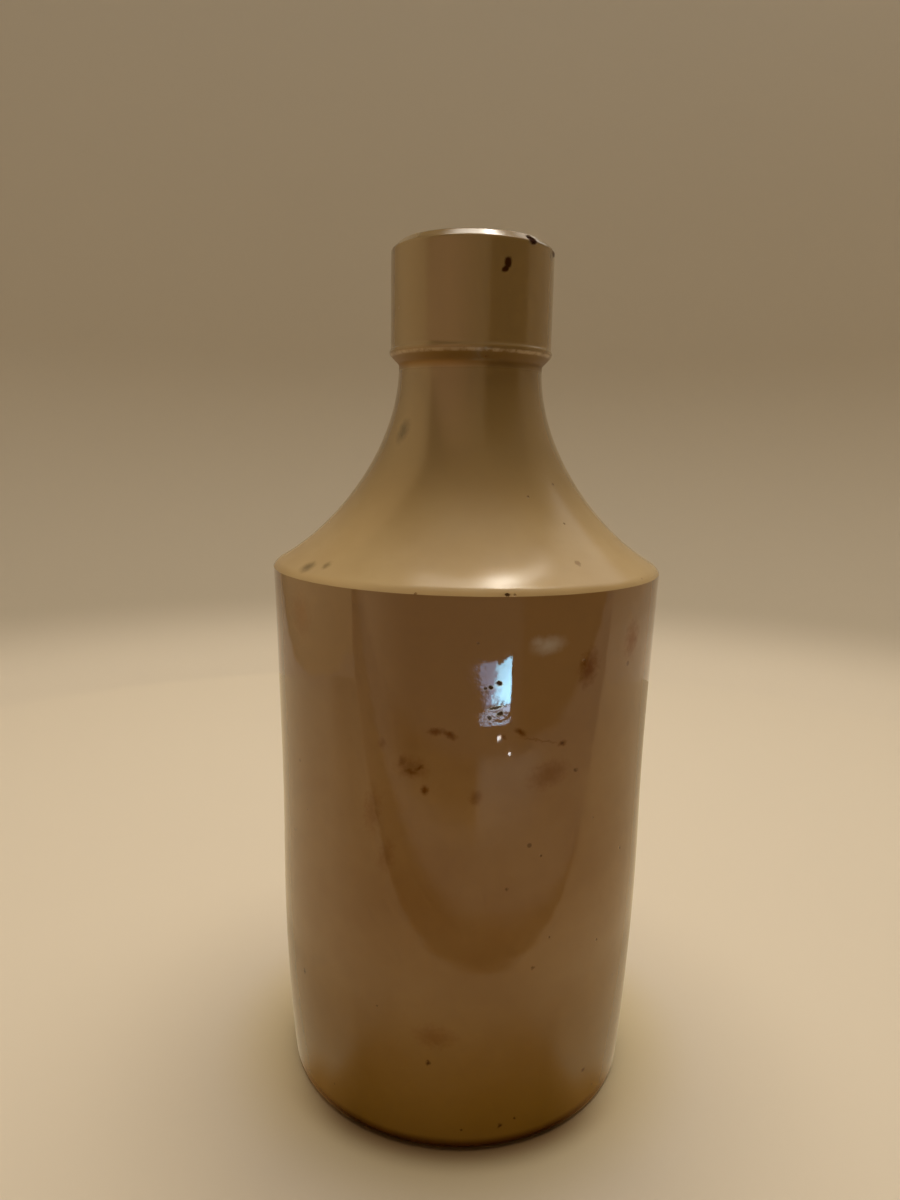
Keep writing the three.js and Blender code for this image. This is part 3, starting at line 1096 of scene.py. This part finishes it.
# %% Dark card
CARD_BLACK = (0.0, 0.0, 0.0)
CARD_GREY = (0.20, 0.18, 0.15)
CARD_FAR = (0.62, 0.45, 0.27)
CARD_HAZE = (0.38, 0.40, 0.36)
CARD_DIM = (0.10, 0.09, 0.08)
CARD_LEFT = (0.82, 0.50, 0.28)
CARD_MID = (0.40, 0.29, 0.16)
# Heights at which one stretch of the card turns into the next, in metres.
FLOOR_LINE = (-0.004, 0.004)
GREY_FROM = (0.014, 0.025)
MIDDLE_FROM = (0.052, 0.060)
HIGH_FROM = (0.09, 0.12)
DIM_FROM = (0.20, 0.27)
# The bowl's rim climbs to both sides of its middle.
BOWL_MIDDLE = 0.02
BOWL_LEFT = 0.12
BOWL_RIGHT = 0.15
BLOCK_SLOPE = 0.35


def card_low(tree, across, up):
    """The grey stretch, black below the bowl's rim, with a black patch and a pale haze."""
    left = calc(tree, "MULTIPLY", calc(tree, "MINIMUM", across, 0.0), BOWL_LEFT)
    right = calc(tree, "MAXIMUM", calc(tree, "SUBTRACT", across, BOWL_MIDDLE), 0.0)
    right = calc(tree, "MULTIPLY", right, BOWL_RIGHT)
    bowl = chain(tree, "ADD", up, left, right)
    low = tint(tree, ease(tree, bowl, *GREY_FROM), CARD_BLACK, CARD_GREY)
    low = tint(tree, ease(tree, across, -0.06, -0.20, 0.0, 0.4), low, CARD_FAR)
    patch = between(tree, across, rise=(-0.10, -0.04), fall=(0.014, 0.008))
    patch = calc(tree, "MULTIPLY", patch, ease(tree, up, 0.034, 0.046))
    low = tint(tree, patch, low, CARD_BLACK)
    haze = between(tree, across, rise=(0.010, 0.018), fall=(0.075, 0.045))
    haze = calc(tree, "MULTIPLY", haze, ease(tree, up, 0.030, 0.056))
    return tint(tree, haze, low, CARD_HAZE)


def card_high(tree, across, up):
    """The warm stretch, with a black block at the right and a dim top."""
    high = tint(tree, ease(tree, across, -0.06, 0.036), CARD_LEFT, CARD_MID)
    leaning = calc(tree, "SUBTRACT", up, calc(tree, "MULTIPLY", across, BLOCK_SLOPE))
    block = between(tree, across, rise=(0.033, 0.0355), fall=(0.30, 0.22))
    block = calc(tree, "MULTIPLY", block, ease(tree, leaning, 0.205, 0.185))
    high = tint(tree, block, high, CARD_BLACK)
    return tint(tree, ease(tree, up, *DIM_FROM), high, CARD_DIM)


def dark_card_material():
    """From the bottom: the floor's own brightness, the bowl, a dark stretch and a warm one."""
    material, tree, inputs = glow_material("dark_card")
    place = object_place(tree)[1]
    across, up = place["X"], place["Z"]
    middle = tint(tree, ease(tree, across, 0.036, 0.044), CARD_DIM, CARD_BLACK)
    middle = tint(tree, ease(tree, across, -0.03, -0.15), middle, CARD_FAR)
    colour = tint(tree, ease(tree, up, *MIDDLE_FROM), card_low(tree, across, up), middle)
    colour = tint(tree, ease(tree, up, *HIGH_FROM), colour, card_high(tree, across, up))
    colour = tint(tree, ease(tree, up, *FLOOR_LINE), FLOOR_GLOW, colour)
    feed(tree, inputs["Emission Color"], colour)
    feed(tree, inputs["Emission Strength"], 1.0)
    return material


card("dark_card", 0.90, 0.75, (0.018, -0.089, 0.375), (90, 0, 12), dark_card_material())

# %% [markdown]
# ## The cool highlight
# High on the front the glaze shows one small cool highlight with a torn left edge and a broken foot. A
# small card just in front of the dark one makes it. A plain bright card would give a clean rectangle,
# so noise and a wave cut its edge, and its transparent part lets the dark card show.

# %% Daylight card
LAVENDER = (0.15, 0.20, 0.31)
LOW_LAVENDER = (0.24, 0.31, 0.42)
DAYLIGHT = (0.36, 0.74, 1.0)
DAYLIGHT_STRENGTH = 15.0
RAGGED_SPAN = 3.5 * MM
RAGGED_ACROSS = 30 * MM
RAGGED_UP = 6 * MM
LOBE = 3 * MM
LOBE_Z = 75.9 * MM
LOBE_PITCH = 10.5 * MM
TORN_SPAN = 1.5 * MM
TORN = 16 * MM
# The gap parts the broken foot from the rest, and slopes a little.
GAP_Z = 71.2 * MM
GAP_X = 20 * MM
GAP_SLOPE = 0.06
NOTCH_X = 23.5 * MM
NOTCH_WIDTH = 5 * MM
NOTCH_DEPTH = 1.2 * MM


def torn_edge(tree, where, across, up):
    """How far a place lies to the right, as the torn left edge sees it."""
    turns = calc(tree, "MULTIPLY", calc(tree, "SUBTRACT", up, LOBE_Z), tau / LOBE_PITCH)
    lobes = calc(tree, "MULTIPLY", calc(tree, "SINE", turns), LOBE)
    upright = add(tree, "ShaderNodeMapping", {"Vector": where, "Scale": (0, 0, 1)}).outputs[0]
    torn = calc(tree, "MULTIPLY", wave(tree, upright, TORN_SPAN, 4.0, 0.7), TORN)
    edge = chain(tree, "ADD", across, lobes, torn)
    return calc(tree, "SUBTRACT", edge, ease(tree, up, 0.0705, 0.0715, 0.004, 0.0))


def daylight_material():
    """Cool light, brightest on the right, with a ragged left edge and a broken foot."""
    material, tree, inputs = glow_material("daylight")
    where, place = object_place(tree)
    flat = add(tree, "ShaderNodeMapping", {"Vector": where, "Scale": (1, 1, 3)}).outputs[0]
    ragged = wave(tree, flat, RAGGED_SPAN, 6.0, 0.75)
    across = calc(tree, "ADD", place["X"], calc(tree, "MULTIPLY", ragged, RAGGED_ACROSS))
    height = calc(tree, "ADD", place["Z"], calc(tree, "MULTIPLY", ragged, RAGGED_UP))

    top = calc(tree, "ADD", height, band(tree, place["X"], NOTCH_X, 0.0, NOTCH_WIDTH, NOTCH_DEPTH))
    slope = calc(tree, "MULTIPLY", calc(tree, "SUBTRACT", place["X"], GAP_X), GAP_SLOPE)
    gap = calc(tree, "SUBTRACT", calc(tree, "ADD", height, slope), GAP_Z)
    gap = calc(tree, "ABSOLUTE", gap)
    share = chain(
        tree, "MULTIPLY", ease(tree, torn_edge(tree, where, across, place["Z"]), 0.0110, 0.0117),
        ease(tree, height, 0.0676, 0.0680), ease(tree, top, 0.0814, 0.0810),
        ease(tree, gap, 0.0002, 0.0006, 0.12, 1.0),
    )
    feed(tree, inputs["Alpha"], ease(tree, share, 0.0, 0.2))

    brighter = ease(tree, across, 0.020, 0.029, 1.0, 1.5)
    dimmer = ease(tree, height, 0.074, 0.079, 1.0, 0.72)
    strength = chain(tree, "MULTIPLY", share, brighter, dimmer, DAYLIGHT_STRENGTH)
    colour = tint(tree, ease(tree, across, 0.0180, 0.0225), LAVENDER, DAYLIGHT)
    colour = tint(tree, ease(tree, height, 0.0708, 0.0712), LOW_LAVENDER, colour)
    feed(tree, inputs["Emission Color"], colour)
    feed(tree, inputs["Emission Strength"], strength)
    return material


card("daylight_card", 0.0338, 0.026, (0.0149, -0.084, 0.073), (90, 0, 0), daylight_material())

# %% [markdown]
# ## The soft cards
# A strip above the bottle, with a hot middle, lights the rim and the shoulder. A dim card at the back
# right and a warm one at the left draw pale edges on the neck and the body.

# %% Strip, side and left cards
STRIP_PLACE = (0.10, 0.20, 0.80)
STRIP_CORE = (0.12, 0.20, 0.80)
STRIP_CORE_SIZE = (0.08, 0.035, 1.0)
SIDE_PLACE = (0.32, 0.33, 0.50)
SIDE_STRENGTH = 0.9
LEFT_PLACE = (-0.32, 0.07, 0.25)
LEFT_GLOW = (1.0, 0.69, 0.34)


def strip_material():
    """A strip with a hot middle, dimmer towards both ends."""
    material, tree, inputs = glow_material("strip")
    where, place = object_place(tree)
    settings = {"Vector": where, "Location": STRIP_CORE, "Scale": STRIP_CORE_SIZE}
    local = add(tree, "ShaderNodeMapping", settings, vector_type="TEXTURE").outputs[0]
    core = ease(tree, length(tree, local), 0.1, 1.0, 50.0, 8.0)
    left_end = ease(tree, place["X"], -0.18, 0.06, 0.45, 1.0)
    right_end = ease(tree, place["X"], 0.22, 0.38, 1.0, 0.35)
    feed(tree, inputs["Emission Color"], WARM)
    feed(tree, inputs["Emission Strength"], chain(tree, "MULTIPLY", core, left_end, right_end))
    return material


def left_material():
    """A warm glow that dies away towards the back and the floor."""
    material, tree, inputs = glow_material("left_glow")
    place = object_place(tree)[1]
    backward = ease(tree, place["Y"], -0.05, 0.32, 1.0, 0.3)
    downward = ease(tree, place["Z"], 0.0, 0.08, 0.7, 1.0)
    feed(tree, inputs["Emission Color"], LEFT_GLOW)
    feed(tree, inputs["Emission Strength"], calc(tree, "MULTIPLY", backward, downward))
    return material


card("strip_card", 0.56, 0.07, STRIP_PLACE, (0, 0, 0), strip_material())
card("side_card", 0.40, 0.36, SIDE_PLACE, (49, 0, 135), plain_glow("side_glow", WARM, SIDE_STRENGTH))
card("left_card", 0.50, 0.50, LEFT_PLACE, (90, 0, 90), left_material())

# %% [markdown]
# ## The floor in reflections
# The lower wall mirrors the floor. This card lies just above the paper and stands in for it there,
# with a painted shadow: dark close to the foot, brown in front, and dimmer ahead and to the right. Two
# specks of white light complete the gloss, small glints under the cool highlight.

# %% Shade card and glints
# Brown of the painted shadow in front of the foot, as reflections see it.
FOOT_SHADOW_GLOW = (0.54, 0.28, 0.08)
CARD_DROP = 0.05 * MM
NEAR_FOOT = 37 * MM
OFF_FOOT = 85 * MM
BROWN_SIDE = 48 * MM
AHEAD = (0.60, 0.90)
GLINT_STRENGTH = 14.0
GLINT_Y = -83.5
# Each glint: X and Z of its middle, width and height, in mm.
GLINTS = [(24.6, 62.6, 2.8, 1.1), (33.2, 58.0, 2.0, 0.9)]


def shade_material():
    """The floor as reflections see it, with a painted shadow: dark by the foot, brown and dim in front."""
    material, tree, inputs = glow_material("shade")
    where, place = object_place(tree)
    away = length(tree, where)
    ahead = ahead_of(tree, place, away)
    # Painted shadow in the reflected floor: dark close to the foot.
    near = ease(tree, away, NEAR_FOOT, OFF_FOOT, 0.06, 1.0)
    near = calc(tree, "MAXIMUM", near, ease(tree, ahead, *AHEAD, 0.80, 0.0))
    reach = ease(tree, ahead, *AHEAD, BROWN_SIDE, OFF_FOOT)
    brown = ease(tree, away, NEAR_FOOT, reach, 1.0, 0.0)
    brown = calc(tree, "MULTIPLY", brown, ease(tree, ahead, 0.30, 0.60))
    strength = chain(
        tree, "MULTIPLY", near, ease(tree, place["Y"], -0.10, -0.03, 0.58, 1.0),
        ease(tree, place["X"], 0.06, 0.14, 1.0, 0.72), ease(tree, place["X"], 0.18, 0.31, 1.0, 1.3),
        ease(tree, brown, 0.0, 1.0, 1.0, 0.72),
    )
    feed(tree, inputs["Emission Color"], tint(tree, brown, FLOOR_GLOW, FOOT_SHADOW_GLOW))
    feed(tree, inputs["Emission Strength"], strength)
    return material


card("shade_card", 0.62, 0.62, (0, 0, -CARD_DROP), (0, 0, 0), shade_material())
GLINT = plain_glow("glint", (1.0, 1.0, 1.0), GLINT_STRENGTH)
for number, (x, z, width, height) in enumerate(GLINTS):
    card(f"glint_{number}", width * MM, height * MM, Vector((x, GLINT_Y, z)) * MM, (90, 0, 0), GLINT)
